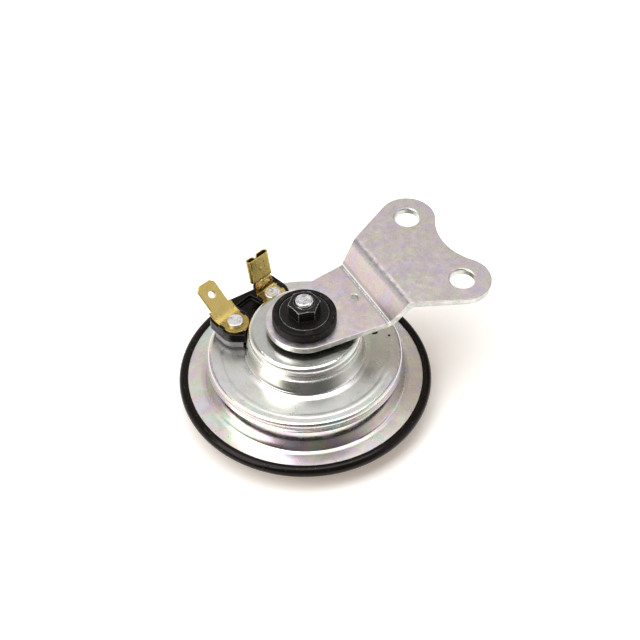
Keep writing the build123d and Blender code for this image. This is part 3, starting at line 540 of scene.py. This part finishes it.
def brass_receptacle():
    """The rolled receptacle: olive wall, a neck with painted shade in its bends and an orange-brown
    patch, bright foot.
    """
    s = Shader("brass_receptacle")
    x, y, z = s.axes()
    away = s.math("SUBTRACT", y, receptacle_rivet_y)
    across = s.math("ADD", s.product(x, sin(terminal_turn)),
                    s.product(away, -cos(terminal_turn)))
    height = s.math("SUBTRACT", z, block_top)
    wall = s.spread(height, 3.9, 4.6)
    neck = s.product(s.spread(height, 0.6, 1.0), s.spread(height, 3.6, 4.4, 1.0, 0.0))
    colour = tarnished_with_shaded_sides(s, (0.56, 0.42, 0.13), (0.80, 0.62, 0.24))
    colour = s.tinge(colour, wall, 0.6, (0.54, 0.43, 0.14))
    # Painted shade along a wavy line under the wall.
    wavy = s.math("ADD", height, s.product(s.noise(0.6, 2), 0.8))
    painted_shade_crease = s.band(wavy, 4.75, 0.15, 0.35)
    colour = s.tinge(colour, painted_shade_crease, 0.75, (0.17, 0.10, 0.03))
    # Painted shade along the slanting line at the neck's foot.
    slant = s.math("SUBTRACT", height, s.product(across, 0.32))
    painted_shade_fold = s.band(slant, 1.15, 0.28, 0.3)
    colour = s.tinge(colour, painted_shade_fold, 0.8, (0.10, 0.05, 0.015))
    # An orange-brown patch on the left of the neck.
    orange_patch = s.product(neck, s.spread(across, -1.4, -2.2), s.spread(s.noise(0.8, 3), 0.35, 0.55))
    colour = s.tinge(colour, orange_patch, 0.75, (0.52, 0.22, 0.03))
    scratch = s.product(wall, s.band(across, 1.35, 0.05, 0.12), s.band(height, 8.6, 1.2, 0.8),
                        s.spread(s.noise(1.2, 3), 0.40, 0.52))
    colour = s.mix(scratch, colour, (0.05, 0.03, 0.01))
    rough = s.drift(1.2, 0.22, 0.36)
    from_dent = s.length(s.math("ADD", across, 0.3), s.math("SUBTRACT", height, 8.0))
    dent = s.spread(from_dent, 0.1, 0.8, 1.0, 0.0)
    crumple = s.product(s.noise(0.55, 2, 0.4, distortion=0.4), neck)
    normal = s.bump(s.noise(2.0, 3, 0.5), 0.12, 0.03, s.rounded(0.1))
    normal = s.bump(crumple, 1.0, 1.6, normal)
    normal = s.bump(dent, 0.5, 0.25, normal)
    return s.finish(colour=colour, metallic=1.0, roughness=rough, normal=normal)


def rivet_metal():
    """Peened rivet heads, dull in patches."""
    s = Shader("rivet_metal")
    colour = s.mix(s.noise(0.9, 3), (0.74, 0.71, 0.72), (0.92, 0.90, 0.90))
    dirt = s.spread(s.noise(0.9, 4, 0.6), 0.50, 0.64)
    colour = s.tinge(colour, dirt, 0.6, (0.40, 0.35, 0.32))
    rough = s.drift(1.5, 0.24, 0.40)
    normal = s.bump(s.noise(1.1, 4, 0.6), 0.4, 0.12, s.rounded(0.3))
    return s.finish(colour=colour, metallic=1.0, roughness=rough, normal=normal)


def plain(name, low, high, rough, metallic):
    """Finish of a piece inside the horn: two near colours, and grain in roughness and bump."""
    s = Shader(name)
    colour = s.mix(s.noise(1.0, 4), low, high)
    roughness = s.drift(2.0, rough - 0.06, rough + 0.06)
    normal = s.bump(s.noise(5.0, 3), 0.2, 0.03)
    return s.finish(colour=colour, metallic=metallic, roughness=roughness, normal=normal)


def paint_nodes():
    """Gives each CAD node the finish of its slot in the record."""
    finishes = {
        "zinc_plate": zinc_housing(),
        "zinc_plate_bright": zinc_stud(),
        "bracket_zinc": zinc_bracket(),
        "black_paint": black_paint(),
        "black_oxide": black_oxide(),
        "rubber": rubber(),
        "block_plastic": block_plastic(),
        "seal_plastic": base_plastic(),
        "seal_paper": seal_fibre(),
        "brass": brass_blade(),
        "rivet_metal": rivet_metal(),
        "spring_steel": plain("spring_steel", (0.42, 0.42, 0.43), (0.52, 0.52, 0.53), 0.3, 1.0),
        "core_iron": plain("core_iron", (0.36, 0.35, 0.34), (0.48, 0.47, 0.46), 0.42, 1.0),
        "copper_wire": plain("copper_wire", (0.42, 0.16, 0.07), (0.58, 0.26, 0.12), 0.35, 1.0),
        "contact_metal": plain("contact_metal", (0.62, 0.62, 0.64), (0.74, 0.74, 0.76), 0.25, 1.0),
        "gasket_paper": plain("gasket_paper", (0.20, 0.16, 0.11), (0.30, 0.25, 0.18), 0.8, 0.0),
        "insulator_board": plain("insulator_board", (0.16, 0.07, 0.03), (0.26, 0.12, 0.05),
                                 0.5, 0.0),
        "bobbin_plastic": plain("bobbin_plastic", (0.05, 0.05, 0.05), (0.09, 0.09, 0.09), 0.5, 0.0),
    }
    slots = {part["node"]: part["material_slot"] for part in frame["record"]["subparts"]}
    for name, node in nodes.items():
        node.data.materials[0] = finishes[slots[name]]
    nodes["receptacle_terminal"].data.materials[0] = brass_receptacle()


def make_flexing_diaphragm():
    """The dished diaphragm copied as a piece of its own, in place of the CAD node, which is hidden.
    """
    source = nodes["diaphragm"]
    piece = bpy.data.objects.new("diaphragm_flexing", source.data.copy())
    piece.matrix_world = source.matrix_world
    bpy.context.scene.collection.objects.link(piece)
    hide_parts("diaphragm")
    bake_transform(piece)


# ================= floor and light =================
floor_half = 3.0  # metres
floor_lift = 0.29  # how much the floor glows by itself, which lightens the shadow
lamp_distance = 1.4  # metres
horn_middle = (0, 0, 0.02)  # metres


def seen(tree, ray):
    """1 for what the camera sees, straight on or in metal and glass."""
    total = ray.outputs["Is Camera Ray"]
    for name in ("Is Glossy Ray", "Is Transmission Ray"):
        total = math_node(tree, "MAXIMUM", total, ray.outputs[name])
    return total


def make_floor():
    """A white floor whose shadows stay warm and light for the camera, metal and glass."""
    mesh = bpy.data.meshes.new("floor")
    half = floor_half
    corners = [(-half, -half, 0), (half, -half, 0), (half, half, 0), (-half, half, 0)]
    mesh.from_pydata(corners, [], [(0, 1, 2, 3)])
    floor = bpy.data.objects.new("floor", mesh)
    bpy.context.scene.collection.objects.link(floor)
    material = bpy.data.materials.new("floor_white")
    material.use_nodes = True
    tree = material.node_tree
    tree.nodes.clear()
    output = tree.nodes.new("ShaderNodeOutputMaterial")
    diffuse = tree.nodes.new("ShaderNodeBsdfDiffuse")
    diffuse.inputs["Color"].default_value = (0.955, 0.96, 0.97, 1)
    glow = tree.nodes.new("ShaderNodeEmission")
    glow.inputs["Color"].default_value = (1.0, 0.81, 0.64, 1)
    ray = tree.nodes.new("ShaderNodeLightPath")
    lift = math_node(tree, "MULTIPLY", seen(tree, ray), floor_lift)
    both = tree.nodes.new("ShaderNodeAddShader")
    tree.links.new(lift, glow.inputs["Strength"])
    tree.links.new(diffuse.outputs[0], both.inputs[0])
    tree.links.new(glow.outputs[0], both.inputs[1])
    tree.links.new(both.outputs[0], output.inputs["Surface"])
    mesh.materials.append(material)


def softbox(name, place, target, size, radiance, colour):
    """A rectangular lamp of the given size and radiance, turned towards a point."""
    data = bpy.data.lights.new(name, "AREA")
    data.shape = "RECTANGLE"
    data.size, data.size_y = size
    data.energy = radiance * pi * size[0] * size[1]
    data.color = colour
    lamp = bpy.data.objects.new(name, data)
    lamp.location = place
    lamp.rotation_mode = "QUATERNION"
    lamp.rotation_quaternion = (Vector(target) - Vector(place)).to_track_quat("-Z", "Y")
    bpy.context.scene.collection.objects.link(lamp)


def camera_side(right, forward, up):
    """A place given from the horn as the camera sees it: right, away from the camera, and up."""
    turn = radians(camera_azimuth)
    x = right * cos(turn) - forward * sin(turn)
    y = right * sin(turn) + forward * cos(turn)
    return (x, y, up)


def towards(azimuth, elevation):
    """A direction seen from the horn: azimuth 0 away from the camera, 90 to the camera's right."""
    a, e = radians(azimuth), radians(elevation)
    return camera_side(sin(a) * cos(e), cos(a) * cos(e), sin(e))


def make_room(tree, direction, glows, base):
    """The colour of a dim room with soft glows: each is (azimuth, elevation, sharpness, colour)."""
    total = base
    for azimuth, elevation, sharpness, colour in glows:
        reach = dot_node(tree, direction, towards(azimuth, elevation))
        fall = math_node(tree, "MULTIPLY_ADD", reach, sharpness, -sharpness)
        tinted = tree.nodes.new("ShaderNodeVectorMath")
        tinted.operation = "MULTIPLY_ADD"
        put(tree, tinted.inputs[0], math_node(tree, "EXPONENT", fall))
        put(tree, tinted.inputs[1], colour)
        put(tree, tinted.inputs[2], total)
        total = tinted.outputs["Vector"]
    return total


def make_world(glows, base):
    """The room as light, and white for the camera."""
    world = bpy.data.worlds.new("studio")
    bpy.context.scene.world = world
    world.use_nodes = True
    tree = world.node_tree
    tree.nodes.clear()
    output = tree.nodes.new("ShaderNodeOutputWorld")
    direction = tree.nodes.new("ShaderNodeTexCoord").outputs["Generated"]
    room = tree.nodes.new("ShaderNodeBackground")
    put(tree, room.inputs["Color"], make_room(tree, direction, glows, base))
    white = tree.nodes.new("ShaderNodeBackground")
    white.inputs["Strength"].default_value = 1.0
    ray = tree.nodes.new("ShaderNodeLightPath")
    # Metal and glass show the white low down beyond the horn. Behind the camera it stays dark.
    beyond = range_node(tree, dot_node(tree, direction, towards(0, 0)), 0.0, 0.3)
    low_down = range_node(tree, dot_node(tree, direction, (0, 0, -1)), -0.26, -0.10)
    shown = math_node(tree, "MULTIPLY", seen(tree, ray), beyond)
    shown = math_node(tree, "MULTIPLY", shown, low_down)
    choose = tree.nodes.new("ShaderNodeMixShader")
    put(tree, choose.inputs[0], math_node(tree, "MAXIMUM", shown, ray.outputs["Is Camera Ray"]))
    put(tree, choose.inputs[1], room.outputs[0])
    put(tree, choose.inputs[2], white.outputs[0])
    put(tree, output.inputs["Surface"], choose.outputs[0])


def far_softbox(name, azimuth, elevation, size, radiance, colour):
    """A softbox that stands in the given direction and faces the horn."""
    place = Vector(towards(azimuth, elevation)) * lamp_distance
    softbox(name, place, horn_middle, size, radiance, colour)


def make_light():
    """Pale walls at the back and sides, a large softbox at the left and one overhead."""
    make_world([
        (-20, 6, 7.0, (1.20, 1.18, 1.13)),
        (97, 8, 9.0, (1.25, 1.25, 1.25)),
        (270, 12, 9.0, (1.20, 1.15, 1.11)),
        (0, 48, 12.0, (0.36, 0.36, 0.36)),
        (90, 45, 14.0, (0.60, 0.60, 0.60)),
        (180, 12, 12.0, (0.14, 0.14, 0.14)),
    ], (0.07, 0.07, 0.07))
    far_softbox("key_softbox", 243, 50, (0.85, 1.0), 3.3, (1.0, 0.98, 0.94))
    softbox("top_softbox", camera_side(-0.1, 0.12, 1.2), camera_side(-0.1, 0.12, 0),
            (1.05, 0.85), 3.3, (0.97, 0.99, 1.0))


make_camera()
make_floor()
make_light()
paint_nodes()
make_flexing_diaphragm()
bpy.context.scene.view_settings.view_transform = "Standard"
